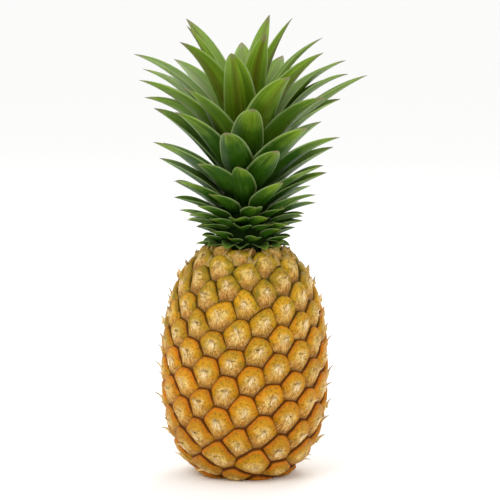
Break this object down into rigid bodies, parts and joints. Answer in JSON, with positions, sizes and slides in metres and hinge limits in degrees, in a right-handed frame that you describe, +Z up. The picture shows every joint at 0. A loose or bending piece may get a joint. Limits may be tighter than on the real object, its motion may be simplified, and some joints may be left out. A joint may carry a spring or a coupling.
{
  "type": "pineapple",
  "caption": "Whole ripe pineapple standing on its base: a barrel of spiralling thorn-tipped eyes, a leafy crown and the cut end of its stalk.",
  "frame": {"origin": "centre of the flat spot under the fruit, on the surface that it stands on", "axes": "+Z up along the fruit from its base to its crown, -Y towards the front"},
  "size_m": [0.1766, 0.1692, 0.3463],
  "materials": {
    "rind": "waxy golden rind with green-brown grooves and dry cream bract tips",
    "leaf": "smooth waxy green leaf with a thin pale bloom",
    "stalk_end": "dry fibrous cut end"
  },
  "bodies": {
    "root": {"fruit": "rind", "crown": "leaf", "stalk": "stalk_end"}
  },
  "joints": []
}
